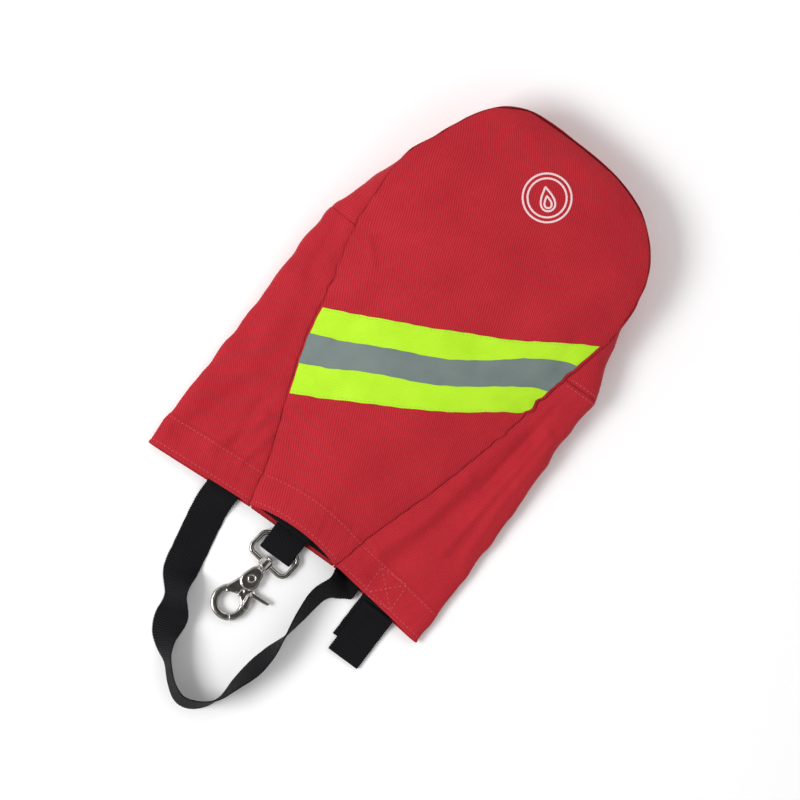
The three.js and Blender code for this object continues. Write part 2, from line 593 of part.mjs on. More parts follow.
// The webbing loop that holds the eye: both plies leave the mouth together, pass over and under the
// eye's bar, and meet in a fold beyond it.
function snapLoop() {
  const ys = [LOOP_HINGE - SEWN_GAP, 4, 0, -5, -10.2];
  const side = (heights) => curve(ys.map((y, i) => vec(y, heights[i], 0)));
  const half = WEBBING / 2;
  const top = side([SEWN_Z + PLY, 6.6, 6.6, 6.3, 4.9]);
  const bottom = side([SEWN_Z, 2.3, 1.1, 0.9, 1.5]);
  const trace = (path, offset) => path.getPoints(10).map((p, i) => {
    const t = path.getTangent(i / 10);
    return new THREE.Vector2(p.x - t.y * offset, p.y + t.x * offset);
  });
  const bend = { y: -10.2, z: 3.2, r: 1.7 };
  const arc = (r) => Array.from({ length: 7 }, (_, i) => {
    const a = Math.PI / 2 + (Math.PI * (i + 1)) / 8;
    return new THREE.Vector2(bend.y + r * Math.cos(a), bend.z + r * Math.sin(a));
  });
  const outer = [...trace(top, -half), ...arc(bend.r + half), ...trace(bottom, half).reverse()];
  const inner = [...trace(bottom, -half), ...arc(bend.r - half).reverse(), ...trace(top, half).reverse()];
  const profile = new THREE.Shape([...outer, ...inner]);
  const loop = new THREE.ExtrudeGeometry(profile, { depth: WEBBING_WIDTH, bevelEnabled: false });
  loop.rotateX(Math.PI / 2).rotateZ(Math.PI / 2); // the profile's plane turned upright, its depth along X
  return loop.translate(SNAP_X - WEBBING_WIDTH / 2, 0, 0);
}
add(bag, "snap_loop", bare(snapLoop()), blackWebbing);

export default bag;
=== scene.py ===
"""Looks of a carrying bag for a firefighter's breathing mask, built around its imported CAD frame.

Lengths are millimetres until a mesh is made, which turns them to metres. +Y runs from the mouth to the
closed end, +X to the right as seen from above, +Z up, and the bag lies on its back on z = 0.
"""

import math

import bmesh
import bpy
import numpy as np
from mathutils import Matrix, Vector
from mathutils.bvhtree import BVHTree
from mathutils.geometry import delaunay_2d_cdt


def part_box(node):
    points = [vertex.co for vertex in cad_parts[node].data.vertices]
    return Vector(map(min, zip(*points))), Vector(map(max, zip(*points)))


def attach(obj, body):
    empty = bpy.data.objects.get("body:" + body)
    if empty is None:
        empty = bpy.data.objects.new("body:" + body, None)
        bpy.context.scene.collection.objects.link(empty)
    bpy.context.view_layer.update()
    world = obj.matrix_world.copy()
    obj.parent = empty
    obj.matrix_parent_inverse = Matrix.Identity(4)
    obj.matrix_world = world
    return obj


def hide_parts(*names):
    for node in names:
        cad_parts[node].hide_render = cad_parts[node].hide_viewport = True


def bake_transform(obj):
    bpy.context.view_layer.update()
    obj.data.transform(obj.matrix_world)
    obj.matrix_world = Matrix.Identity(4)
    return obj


MM = 0.001
FABRIC = 0.8
LINING = 1.2
WEBBING = 1.4
WEBBING_WIDTH = 25
TRIM = 0.4
CLOSURE = 1.0
INSIDE = np.array([5, 0, 15])  # a point in the bag, which every panel faces away from
FAR_BELOW = np.array([5, 0, -5000])  # a point that only upper faces look away from
HEM = 25  # depth of the mouth's hem
HEM_STITCHES = (3.2, 22.5)  # distances of the hem's two rows of stitches from the mouth's edge
SEAM_REACH = 7  # how far from a front seam the cloth wanders with it
WELD = 0.02  # CAD points closer than this are one point
START_EDGE, END_EDGE = 0, -0.001  # distances that stand for a grid's first and last row

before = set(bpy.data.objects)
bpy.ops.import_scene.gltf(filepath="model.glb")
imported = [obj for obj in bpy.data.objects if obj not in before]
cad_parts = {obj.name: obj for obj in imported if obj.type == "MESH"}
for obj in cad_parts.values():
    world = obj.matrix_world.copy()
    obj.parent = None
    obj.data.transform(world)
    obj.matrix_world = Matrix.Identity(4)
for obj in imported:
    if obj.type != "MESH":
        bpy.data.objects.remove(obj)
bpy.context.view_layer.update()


# ---------- CAD sheets as grids of points ----------


def unit(vectors):
    return vectors / (np.linalg.norm(vectors, axis=-1, keepdims=True) + 1e-9)


def in_scene(name, data):
    """A new object in the scene that shows a mesh, lamp or camera."""
    made = bpy.data.objects.new(name, data)
    bpy.context.scene.collection.objects.link(made)
    return made


def skins(node, thickness, inside):
    """The skin of a CAD sheet that faces away from a point: its bmesh and the island of faces."""
    bm = bmesh.new()
    bm.from_mesh(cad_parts[node].data)
    bmesh.ops.remove_doubles(bm, verts=bm.verts, dist=WELD * MM)

    def as_thick(edge):
        return abs(edge.calc_length() / MM - thickness) < 0.002

    walls = [f for f in bm.faces if any(as_thick(e) for e in f.edges)]
    bmesh.ops.delete(bm, geom=walls, context="FACES")
    islands = []
    left = set(bm.faces)
    while left:
        island = {left.pop()}
        edge = list(island)
        while edge:
            near = {f for e in edge.pop().edges for f in e.link_faces} & left
            left -= near
            island |= near
            edge.extend(near)
        islands.append(island)
    centre = Vector(inside) * MM

    def facing_away(island):
        return sum(f.calc_area() * f.normal.dot(f.calc_center_median() - centre) for f in island)

    return bm, max(islands, key=facing_away)


def sheet_grid(node, thickness, cells, start, inside=INSIDE):
    """A CAD sheet's outer skin as an array of points, from the corner furthest in the start direction.
    There are cells[0] cells along its first axis and cells[1] along its second."""
    bm, island = skins(node, thickness, inside)
    corners = [v for v in {v for f in island for v in f.verts} if len(v.link_faces) < 3]
    corner = max(corners, key=lambda v: v.co.dot(Vector(start)))

    def side(edge):
        line = [corner, edge.other_vert(corner)]
        while len(line[-1].link_faces) > 2:
            edge = next(e for e in line[-1].link_edges if len(e.link_faces) == 1 and e is not edge)
            line.append(edge.other_vert(line[-1]))
        return line

    sides = [side(e) for e in corner.link_edges if len(e.link_faces) == 1]
    first, second = sides if len(sides[0]) == cells[0] + 1 else sides[::-1]
    rows = [first]
    used = set()
    for begin in second[1:]:
        row = [begin]
        for above, above_next in zip(rows[-1], rows[-1][1:]):
            face = next(f for f in above.link_faces if row[-1] in f.verts and f not in used)
            used.add(face)
            third = next(v for v in face.verts if v not in (above, row[-1]))
            pair = (above_next, row[-1]) if third is above_next else (above, third)
            other = next(f for f in pair[0].link_faces if pair[1] in f.verts and f not in used)
            used.add(other)
            if third is above_next:
                third = next(v for v in other.verts if v not in pair)
            row.append(third)
        rows.append(row)
    points = np.array([[v.co[:] for v in row] for row in rows]) / MM
    bm.free()
    return points.transpose(1, 0, 2)


def along(points, places):
    """Points at fractional places along the first axis of a grid, on smooth curves through its points."""
    ends = (2 * points[:1] - points[1:2], 2 * points[-1:] - points[-2:-1])
    padded = np.concatenate([ends[0], points, ends[1]])
    cell = np.minimum(places.astype(int), len(points) - 2)
    t = (places - cell).reshape(-1, *[1] * (points.ndim - 1))
    a, b, c, d = (padded[cell + k] for k in range(4))
    square = (2 * a - 5 * b + 4 * c - d) * t**2
    cube = (3 * b - a - 3 * c + d) * t**3
    return 0.5 * (2 * b + (c - a) * t + square + cube)


def lengths(points, axis=0):
    """Distance along a grid from its first row."""
    steps = np.linalg.norm(np.diff(points, axis=axis), axis=-1)
    start = np.zeros_like(np.take(steps, [0], axis))
    return np.concatenate([start, np.cumsum(steps, axis)], axis)


def at(wanted, run, points):
    """Points, or other rows, at wanted distances along a line whose points lie at the distances run."""
    return np.stack([np.interp(wanted, run, column) for column in points.T], -1)


NEAR_LINE = np.array([-1.7, -1.15, -0.7, -0.35, 0, 0.35, 0.7, 1.15, 1.7])  # extra rows beside a line


def stations(points, step, dense):
    """Fractional places along a grid's first axis, a step apart, and closer by the dense distances.

    A negative distance counts from the far edge.
    """
    middle = lengths(points.mean(axis=1))
    total = middle[-1]
    extra = [d + NEAR_LINE if d >= 0 else total + d + NEAR_LINE for d in dense]
    wanted = np.sort(np.concatenate([np.linspace(0, total, int(total / step) + 1), *extra]))
    wanted = wanted[(wanted > 0.15) & (wanted < total - 0.15)]
    kept = [0.0]
    for distance in wanted:
        if distance - kept[-1] > 0.2:
            kept.append(distance)
    return np.interp([*kept, total], middle, np.arange(len(middle)))


ENDS = (START_EDGE, END_EDGE)


def refine(points, step, dense_first=ENDS, dense_second=ENDS):
    """A grid made finer along both axes, and finest at the dense distances."""
    points = along(points, stations(points, step, dense_first))
    turned = points.transpose(1, 0, 2)
    return along(turned, stations(turned, step, dense_second)).transpose(1, 0, 2)


def normals(points, inside=INSIDE):
    """Unit normals of a grid, facing away from a point."""
    n = unit(np.cross(np.gradient(points, axis=0), np.gradient(points, axis=1)))
    return n if np.sum(n * (points - inside)) > 0 else -n


# ---------- meshes ----------


def mesh_piece(name, points, faces, material, uv=None, values=None):
    """A piece from points in millimetres, with a map in millimetres of its cloth and named point values."""
    mesh = bpy.data.meshes.new(name)
    mesh.from_pydata((np.asarray(points) * MM).tolist(), [], [list(map(int, f)) for f in faces])
    if uv is not None:
        corner = np.zeros(len(mesh.loops), int)
        mesh.loops.foreach_get("vertex_index", corner)
        layer = mesh.uv_layers.new(name="cloth")
        layer.data.foreach_set("uv", np.asarray(uv, np.float32)[corner].ravel())
    for key, data in (values or {}).items():
        attribute = mesh.attributes.new(key, "FLOAT", "POINT")
        attribute.data.foreach_set("value", np.asarray(data, np.float32).ravel())
    mesh.shade_smooth()
    mesh.materials.append(material)
    return in_scene(name, mesh)


def quads(count_a, count_b):
    index = np.arange(count_a * count_b).reshape(count_a, count_b)
    corners = [index[:-1, :-1], index[1:, :-1], index[1:, 1:], index[:-1, 1:]]
    return np.stack(corners, -1).reshape(-1, 4)


def closed_sheet(name, outer, inner, material, uv=None, values=None, inside=INSIDE):
    """A closed piece of cloth between two grids of points."""
    count_a, count_b = outer.shape[:2]
    total = count_a * count_b
    index = np.arange(total).reshape(count_a, count_b)
    ring = np.concatenate([index[:-1, 0], index[-1, :-1], index[:0:-1, -1], index[0, :0:-1]])
    after = np.roll(ring, -1)
    skin = quads(count_a, count_b)
    walls = np.stack([after, ring, ring + total, after + total], -1)
    faces = np.concatenate([skin, skin[:, ::-1] + total, walls])
    n = np.cross(np.gradient(outer, axis=0), np.gradient(outer, axis=1))
    if np.sum(n * (outer - inside)) < 0:
        faces = faces[:, ::-1]
    points = np.concatenate([outer.reshape(-1, 3), inner.reshape(-1, 3)])
    uv = None if uv is None else np.tile(uv.reshape(-1, 2), (2, 1))
    values = {key: np.tile(np.ravel(data), 2) for key, data in (values or {}).items()}
    return mesh_piece(name, points, faces, material, uv, values)


# ---------- the shared shape of the soft bag ----------


def smooth(value, low, high):
    """0 at low, 1 at high, and a smooth step between them."""
    t = np.clip((value - low) / (high - low), 0, 1)
    return t * t * (3 - 2 * t)


def ripple(distance, wave, seed):
    """An uneven wave of about the given length, between -1 and 1."""
    phases = np.random.default_rng(seed).uniform(0, 2 * math.pi, 4)
    shares = (0.45, 0.25, 0.2, 0.1)
    angle = 2 * math.pi * distance / wave
    return sum(s * np.sin(angle * w + p) for s, w, p in zip(shares, (1, 1.37, 0.61, 2.3), phases))


def bell(distance, width):
    return np.exp(-((distance / width) ** 2))


def near_seam(distance):
    """How much of a front seam's wandering reaches the cloth at a distance from it."""
    return bell(distance, SEAM_REACH)


def rolled(distance, radius):
    """How far a rounded edge turns down, from 1 at the edge to 0 at its radius."""
    return 1 - np.sqrt(1 - (1 - np.clip(distance / radius, 0, 1)) ** 2 * 0.999)


def corners(node):
    """The low and the high corner of a CAD node's box, in millimetres."""
    return [np.array(corner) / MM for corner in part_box(node)]


def hold(piece, body):
    """Rides a piece on one body; given as (body, body, start, end), it only bakes the piece's place into
    its mesh.
    """
    if isinstance(body, str):
        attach(piece, body)
    else:
        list(body)
        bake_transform(piece)


def stand_in(piece, nodes, body):
    """Puts a finished piece in the place of CAD nodes."""
    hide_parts(*nodes)
    hold(piece, body)


FOLD_SCALE = 1.8
# Soft folds as (line of points, width, height); a height below zero is a valley.
FOLDS = (
    (((94, -14), (84, -75), (66, -150)), 7, -1.5),
    (((101, -4), (96, -58), (92, -110)), 3.6, 1.0),
    (((107, -6), (104, -62), (106, -105)), 3.2, 0.8),
    (((95, 12), (90, -30), (88, -60)), 3.0, -0.6),
    (((76, -60), (70, -100), (56, -135)), 5, 0.9),
    (((-60, -108), (-78, -146)), 4.5, 1.1),
    (((-50, -116), (-55, -142)), 3.2, 0.9),
    (((-68, -100), (-66, -136)), 4, -0.8),
    (((-84, -100), (-101, -150)), 7, -1.3),
    (((-96, -20), (-88, -90)), 8, 0.8),
    (((-99, 36), (-94, -10)), 5, -0.7),
    (((-74, 30), (-62, 18)), 3.5, 0.8),
    (((-30, -60), (-34, -100), (-22, -140)), 11, -0.9),
    (((5, -150), (8, -100), (30, -50)), 14, 1.0),
    (((-45, 5), (-52, -60)), 7, -0.7),
    (((30, 10), (34, 50), (20, 90)), 13, -0.8),
    (((60, 60), (78, 110)), 12, 0.9),
    (((-25, 20), (-15, 100)), 16, 0.8),
    (((84, 10), (78, 60)), 6, -0.5),
    (((-92, 60), (-84, 110)), 6, 0.8),
    (((104, 60), (96, 110)), 5, -0.6),
)


def fold_height(x, y):
    """Height that the soft folds add to the bag's upper side."""
    here = np.stack([x, y], -1)
    total = np.zeros(np.shape(x))
    for line, width, height in FOLDS:
        away = np.full(np.shape(x), 1e9)
        for begin, end in zip(line, line[1:]):
            begin, end = np.array(begin, float), np.array(end, float)
            run = end - begin
            share = np.clip((here - begin) @ run / (run @ run), 0, 1)
            away = np.minimum(away, np.linalg.norm(here - begin - share[..., None] * run, axis=-1))
        total += FOLD_SCALE * height * bell(away, width)
    return total


def seam_shift(y, side):
    """How far the left (-1) or right (1) front seam wanders sideways, most where the cloth is gathered."""
    gathered = smooth(y, -32, -18) * (1 - smooth(y, 26, 44))
    size = 0.3 + (1.2 if side > 0 else 0.8) * gathered
    return size * ripple(y, 13 if side > 0 else 17, 40 + side)


def settle(points, n):
    """Moves a sheet's points as the soft bag sags and folds, alike for all plies that lie together."""
    x, y = points[..., 0], points[..., 1]
    upper = smooth(n[..., 2], -0.1, 0.5)
    moved = points.copy()
    moved[..., 2] += fold_height(x, y) * upper
    sideways = np.abs(n[..., 0]) * smooth(points[..., 2], 1, 6)
    moved[..., 0] += 0.9 * ripple(y + 7 * np.sign(x), 31, 5) * sideways
    return moved


# ---------- cloth panels ----------


# Kinds of seam: how far the cloth closes up to its neighbour, how deep its edge turns down, how much it
# puckers, and how dark the painted shade along its groove is.
SEAMS = {
    "seam": (0.6, 0.6, 1.0, 1.0),
    "cross": (0.6, 0.6, 1.5, 0.9),
    "flat": (0.62, 0.25, 0.6, 0.3),
}


def seam_profile(distance, run, seed, depth, gather):
    """Rise of the cloth by a seam: turned down at the edge, lifted by the seam allowance, puckered."""
    allowance = 0.22 * (1 - smooth(distance, 6.5, 9)) * smooth(distance, 0, 2.5)
    pucker = 0.20 * np.exp(-distance / 6) * smooth(distance, 0, 1.5) * ripple(run, 8.5, seed)
    wide = 0.28 * np.exp(-distance / 13) * smooth(distance, 0, 3) * ripple(run, 21, seed + 1)
    return -depth * rolled(distance, 0.9) + allowance + gather * (pucker + wide)


def hem_profile(distance, run, seed):
    """Rise of the cloth at the hem: doubled up to the hem's depth, dented at its two rows of stitches."""
    doubled = 0.45 * (1 - smooth(distance, HEM - 1.2, HEM + 0.4))
    dents = sum(0.28 * bell(distance - s, 0.8) for s in HEM_STITCHES)
    pucker = 0.22 * (1 - smooth(distance, HEM - 2, HEM + 9)) * ripple(run, 9.5, seed)
    return doubled - 0.5 * rolled(distance, 0.9) - dents + pucker * smooth(distance, 0, 3)


def cloth_panel(name, cells, start, sides, body, front_side=None, side=0, grain=0):
    """A panel of the bag, as a dictionary of its grids.

    Sides are the kinds of its four edges, first axis first: hem or a kind of seam. Front_side is the index
    of the edge on the front seam. Grain is the angle in degrees from the panel's length to its ribs.
    """
    coarse = sheet_grid(name, FABRIC, cells, start)
    hems = (*HEM_STITCHES, HEM)
    dense_first = ENDS + (hems if sides[0] == "hem" else ())
    dense_second = ENDS + (hems if sides[2] == "hem" else ())
    points = refine(coarse, 1.35, dense_first, dense_second)
    run_a, run_b = lengths(points, 0), lengths(points, 1)
    distance = [run_a, run_a[-1:] - run_a, run_b, run_b[:, -1:] - run_b]
    beside = [run_b, run_b, run_a, run_a]
    tangents = [unit(np.gradient(points, axis=k)) for k in range(2)]
    for k, kind in enumerate(sides):
        if kind != "hem":
            outward = tangents[k // 2] * (-1 if k % 2 == 0 else 1)
            points = points + outward * (SEAMS[kind][0] * np.exp(-distance[k] / 1.5))[..., None]
    n = normals(points)
    rise = np.zeros(points.shape[:2])
    for k, kind in enumerate(sides):
        seed = 100 + 10 * k + sum(map(ord, name)) % 10
        if kind == "hem":
            rise += hem_profile(distance[k], beside[k], seed)
        else:
            rise += seam_profile(distance[k], beside[k], seed, *SEAMS[kind][1:3])
    if front_side is None:
        left_half = np.arange(len(points))[:, None] < len(points) // 2
        y = points[..., 1]
        shift = np.where(left_half, seam_shift(y, -1), seam_shift(y, 1))
        shift = shift * near_seam(np.minimum(distance[0], distance[1]))
    outer = settle(points + n * rise[..., None], n)
    inner = settle(points - n * FABRIC, n)
    for skin in (outer, inner):
        if front_side is not None:
            shift = seam_shift(skin[..., 1], side) * near_seam(distance[front_side])
        skin[..., 0] += shift
        skin[..., 2] = np.maximum(skin[..., 2], 0.02)
    # painted shade: the cloth's colour darkens close to each seam, where its groove lies in shadow
    sewn = [(SEAMS[kind][3], distance[k]) for k, kind in enumerate(sides) if kind != "hem"]
    painted_seam_shade = np.max([dark * np.exp(-away / 0.45) for dark, away in sewn], axis=0)
    c, s = math.cos(math.radians(grain)), math.sin(math.radians(grain))
    width, length = (run_a - run_a[-1:] / 2, run_b) if sides[2] == "hem" else (run_b, run_a)
    uv = np.stack([c * width + s * length, c * length - s * width], -1)
    piece = closed_sheet(name + "_cloth", outer, inner, RED, uv, {"painted_seam_shade": painted_seam_shade})
    stand_in(piece, [name], body)
    return {"outer": outer, "distance": distance, "normal": normals(outer), "rest": points}


def soft_sheet(node, cells, start, material, body, step, thickness, fuzz=0.0, cut=0.0):
    """A lining or tape that follows its CAD sheet, cut back at the first axis' start."""
    points = refine(sheet_grid(node, thickness, cells, start), step, (), ())
    points = points[lengths(points.mean(axis=1)) >= cut]
    n = normals(points)
    run_a, run_b = lengths(points, 0), lengths(points, 1)
    rough = fuzz * np.random.default_rng(sum(map(ord, node))).uniform(-1, 1, points.shape[:2])
    outer = settle(points, n) + n * rough[..., None]
    inner = settle(points - n * thickness, n) - n * rough[::-1, ::-1][..., None]
    piece = closed_sheet(node + "_cloth", outer, inner, material, np.stack([run_a, run_b], -1))
    stand_in(piece, [node], body)


def lining_sheet(node, cells, start, body, cut=0.0):
    soft_sheet(node, cells, start, FLEECE, body, 3.0, LINING, cut=cut)


def tape_sheet(node, cells, material, body):
    soft_sheet(node, cells, MOUTH_LEFT, material, body, 1.0, CLOSURE, fuzz=0.08)


# ---------- things laid on the cloth ----------


def tree_of(panel):
    shape = panel["outer"].shape
    return BVHTree.FromPolygons(panel["outer"].reshape(-1, 3).tolist(), quads(*shape[:2]).tolist())


def lay(tree, x, y):
    """Points and normals of a panel's surface under (x, y)."""
    x, y = np.broadcast_arrays(x, y)
    points, ups = np.zeros((x.size, 3)), np.zeros((x.size, 3))
    for k, (px, py) in enumerate(zip(x.ravel(), y.ravel())):
        hit, normal, _, _ = tree.ray_cast(Vector((px, py, 200)), Vector((0, 0, -1)))
        if hit is None:
            hit, normal, _, _ = tree.find_nearest(Vector((px, py, 30)))
        if normal.z < 0:
            normal = -normal
        points[k], ups[k] = hit, normal
    return points.reshape(*x.shape, 3), ups.reshape(*x.shape, 3)


def front_shift(panel, x, y):
    """Sideways shift of the front's cloth at (x, y), so that a trim sewn on it moves with it."""
    rest = panel["rest"]
    left = np.interp(y, rest[0, :, 1], rest[0, :, 0])
    right = np.interp(y, rest[-1, :, 1], rest[-1, :, 0])
    return seam_shift(y, -1) * near_seam(x - left) + seam_shift(y, 1) * near_seam(right - x)


TRIM_STITCHES = 1.6  # distance of the lime tape's stitches from its edges


def trim_sheet(node, cells, panel, tree, height, material, seed):
    """A flat trim laid on the front at a height over the cloth, with slightly uneven edges."""
    flat = refine(sheet_grid(node, TRIM, cells, (-1, -1, 0), FAR_BELOW), 1.1)
    run_a, run_b = lengths(flat, 0), lengths(flat, 1)
    across = np.minimum(run_b, run_b[:, -1:] - run_b)
    edge = np.minimum(np.minimum(run_a, run_a[-1:] - run_a), across)
    x, y = flat[..., 0], flat[..., 1]
    x = x + front_shift(panel, x, y)
    y = y + 0.3 * ripple(run_a, 15, seed) * np.exp(-across / 3)
    points, ups = lay(tree, x, y)
    dent = 0.12 * bell(across - TRIM_STITCHES, 0.6)
    pucker = 0.05 * ripple(run_a, 9, seed + 1) * np.exp(-across / 5)
    rise = height - 0.25 * rolled(edge, 0.45) - dent + pucker
    outer = points + ups * rise[..., None]
    inner = points + ups * (height - 0.45)
    uv = np.stack([run_a, run_b], -1)
    piece = closed_sheet(node + "_tape", outer, inner, material, uv, inside=FAR_BELOW)
    stand_in(piece, [node], "bag_front")
    return outer, run_b


def resample(points, pitch):
    """Evenly spaced points on a line, about a pitch apart."""
    run = lengths(points)
    count = max(2, int(run[-1] / pitch) + 1)
    return at(np.linspace(0, run[-1], count), run, points)


def row_at(panel, edge, distance):
    """The line on a panel at a distance from one of its four edges, and the normals there."""
    run, points, ups = panel["distance"][edge], panel["outer"], panel["normal"]
    if edge < 2:
        run, points, ups = run.T, points.transpose(1, 0, 2), ups.transpose(1, 0, 2)
    if edge % 2:
        run, points, ups = run[:, ::-1], points[:, ::-1], ups[:, ::-1]
    return tuple(np.array([at(distance, r, p) for r, p in zip(run, rows)]) for rows in (points, ups))


STITCH_PITCH = 3.1
STITCH_HALF_LENGTH = 1.05
STITCH_HALF_WIDTH = 0.27


def stitches(name, rows, body, material):
    """Sewing thread: a row of small rounded stitches on each line of points with its normals."""
    rings, around = 5, 8
    points, faces = [], []
    for line, ups in rows:
        spots = resample(line, STITCH_PITCH)
        for k in range(len(spots) - 1):
            centre = (spots[k] + spots[k + 1]) / 2
            ahead = spots[k + 1] - spots[k]
            if np.linalg.norm(ahead) < 0.5:
                continue
            ahead = unit(ahead)
            up = ups[np.argmin(np.linalg.norm(line - centre, axis=1))]
            aside = unit(np.cross(up, ahead))
            up = np.cross(ahead, aside)
            base = len(points)
            for ring in range(rings):
                angle = math.pi * (ring + 0.5) / rings
                lift = STITCH_HALF_LENGTH * math.cos(angle)
                size = STITCH_HALF_WIDTH * math.sin(angle) ** 0.6
                for turn in range(around):
                    a = 2 * math.pi * turn / around
                    round_thread = aside * math.cos(a) + up * math.sin(a)
                    points.append(centre + ahead * lift + round_thread * size)
            for ring in range(rings - 1):
                for turn in range(around):
                    a = base + ring * around + turn
                    b = base + ring * around + (turn + 1) % around
                    faces.append((a, a + around, b + around, b))
            last = base + (rings - 1) * around
            faces.append(range(base, base + around))
            faces.append(range(last + around - 1, last - 1, -1))
    piece = mesh_piece(name, points, faces, material, np.array(points)[:, :2])
    hold(piece, body)


# ---------- webbing ----------

RIB = 1.55  # pitch of the webbing's cross ribs
PROFILE = 26  # points round its section


def webbing(name, centres, across, nodes, body):
    """Woven webbing swept along its middle line, with cross ribs and notched edges.

    Across points along its width.
    """
    run = lengths(centres)
    steps = np.linspace(0, run[-1], int(run[-1] / (RIB / 4)) + 2)
    middle, wide = at(steps, run, centres), unit(at(steps, run, across))
    up = unit(np.cross(wide, np.gradient(middle, axis=0)))
    beat = np.cos(2 * math.pi * steps / RIB)
    ends = smooth(steps, -0.3, 0.5) * (1 - smooth(steps, run[-1] - 0.5, run[-1] + 0.3))
    half_width = WEBBING_WIDTH / 2 - 0.25 + 0.25 * beat + 0.15 * ripple(steps, 11, 9)
    half_thick = (WEBBING / 2 - 0.11 + 0.11 * beat) * (0.75 + 0.25 * ends)
    turn = 2 * math.pi * (np.arange(PROFILE) + 0.5) / PROFILE
    round_x = np.sign(np.cos(turn)) * np.abs(np.cos(turn)) ** 0.42
    round_z = np.sign(np.sin(turn)) * np.abs(np.sin(turn)) ** 0.42
    points = (
        middle[:, None]
        + wide[:, None] * (half_width[:, None] * round_x)[..., None]
        + up[:, None] * (half_thick[:, None] * round_z)[..., None]
    )
    count = len(steps)
    index = np.arange(count * PROFILE).reshape(count, PROFILE)
    after = np.roll(index, -1, axis=1)
    faces = np.stack([index[:-1], after[:-1], after[1:], index[1:]], -1).reshape(-1, 4).tolist()
    faces += [index[0][::-1].tolist(), index[-1].tolist()]
    uv = np.stack(np.broadcast_arrays(half_width[:, None] * round_x, steps[:, None]), -1).reshape(-1, 2)
    piece = mesh_piece(name, points.reshape(-1, 3), faces, BLACK, uv)
    stand_in(piece, nodes, body)


def swept_line(node, cells, start):
    """Middle line and width directions of a CAD webbing sheet."""
    grid = sheet_grid(node, WEBBING, (cells, 1), start, FAR_BELOW)
    grid = along(grid, np.linspace(0, cells, cells * 6 + 1))
    across = grid[:, 1] - grid[:, 0]
    n = normals(grid, FAR_BELOW).mean(axis=1)
    return grid.mean(axis=1) - n * WEBBING / 2, across


# ---------- materials ----------


class Paint:
    """A material's node tree, with short calls for the nodes that the materials here share."""

    def __init__(self, name, **inputs):
        self.material = bpy.data.materials.new(name)
        self.material.use_nodes = True
        self.tree = self.material.node_tree
        self.shader = self.tree.nodes["Principled BSDF"]
        self.set(self.shader, **inputs)

    def new(self, kind):
        return self.tree.nodes.new("ShaderNode" + kind)

    def fill(self, socket, value):
        """Sets a socket from another node's output, or from a number, vector or colour."""
        if isinstance(value, bpy.types.NodeSocket):
            self.tree.links.new(value, socket)
        else:
            socket.default_value = value

    def set(self, node, **inputs):
        for key, value in inputs.items():
            self.fill(node.inputs[key.replace("_", " ")], value)

    def math(self, operation, *values):
        node = self.new("Math")
        node.operation = operation
        for socket, value in zip(node.inputs, values):
            self.fill(socket, value)
        return node.outputs[0]

    def times(self, first, second):
        return self.math("MULTIPLY", first, second)

    def scaled(self, vector, operation, entry, factor):
        node = self.new("VectorMath")
        node.operation = operation
        self.fill(node.inputs[0], vector)
        self.fill(node.inputs[entry], factor)
        return node.outputs[0]

    def cloth(self):
        """The piece's own map, in millimetres: (across the grain, along the grain, whole vector)."""
        node = self.new("UVMap")
        node.uv_map = "cloth"
        parts = self.new("SeparateXYZ")
        self.tree.links.new(node.outputs[0], parts.inputs[0])
        return parts.outputs[0], parts.outputs[1], node.outputs[0]

    def place(self):
        """The point's place on the object, in millimetres."""
        return self.scaled(self.new("TexCoord").outputs["Object"], "SCALE", "Scale", 1 / MM)

    def noise(self, vector, size, detail=2.0, stretch=None):
        """Noise from 0 to 1 whose patches are about size millimetres across."""
        if stretch:
            vector = self.scaled(vector, "MULTIPLY", 1, stretch)
        node = self.new("TexNoise")
        self.set(node, Vector=vector, Scale=1 / size, Detail=detail)
        return node.outputs[0]

    def voronoi(self, vector, size):
        node = self.new("TexVoronoi")
        self.set(node, Vector=vector, Scale=1 / size)
        return node.outputs["Distance"]

    def wave(self, run, pitch):
        """A smooth wave from 0 to 1 with the given pitch in millimetres."""
        turn = self.times(run, 2 * math.pi / pitch)
        return self.math("MULTIPLY_ADD", self.math("SINE", turn), 0.5, 0.5)

    def spread(self, value, low, high, to_low=0.0, to_high=1.0):
        node = self.new("MapRange")
        for socket, number in zip(node.inputs[:5], (value, low, high, to_low, to_high)):
            self.fill(socket, number)
        return node.outputs[0]

    def value(self, name):
        node = self.new("Attribute")
        node.attribute_name = name
        return node.outputs["Fac"]

    def mix(self, share, first, second):
        """A blend of two colours, each an output or a linear (red, green, blue)."""
        node = self.new("Mix")
        node.data_type = "RGBA"
        self.fill(node.inputs[0], share)
        for socket, colour in zip(node.inputs[6:8], (first, second)):
            self.fill(socket, (*colour, 1) if isinstance(colour, tuple) else colour)
        return node.outputs[2]

    def bump(self, height, depth, strength=1.0):
        """Relief whose full height is depth millimetres."""
        node = self.new("Bump")
        self.set(node, Height=height, Distance=depth * MM, Strength=strength)
        self.set(self.shader, Normal=node.outputs[0])

    def done(self, **inputs):
        self.set(self.shader, **inputs)
        return self.material


def linear(red, green, blue):
    """A display colour from 0 to 255 as the renderer's linear light."""
    shares = [c / 255 for c in (red, green, blue)]
    return tuple(((c + 0.055) / 1.055) ** 2.4 if c > 10 / 255 else c / 12.92 for c in shares)


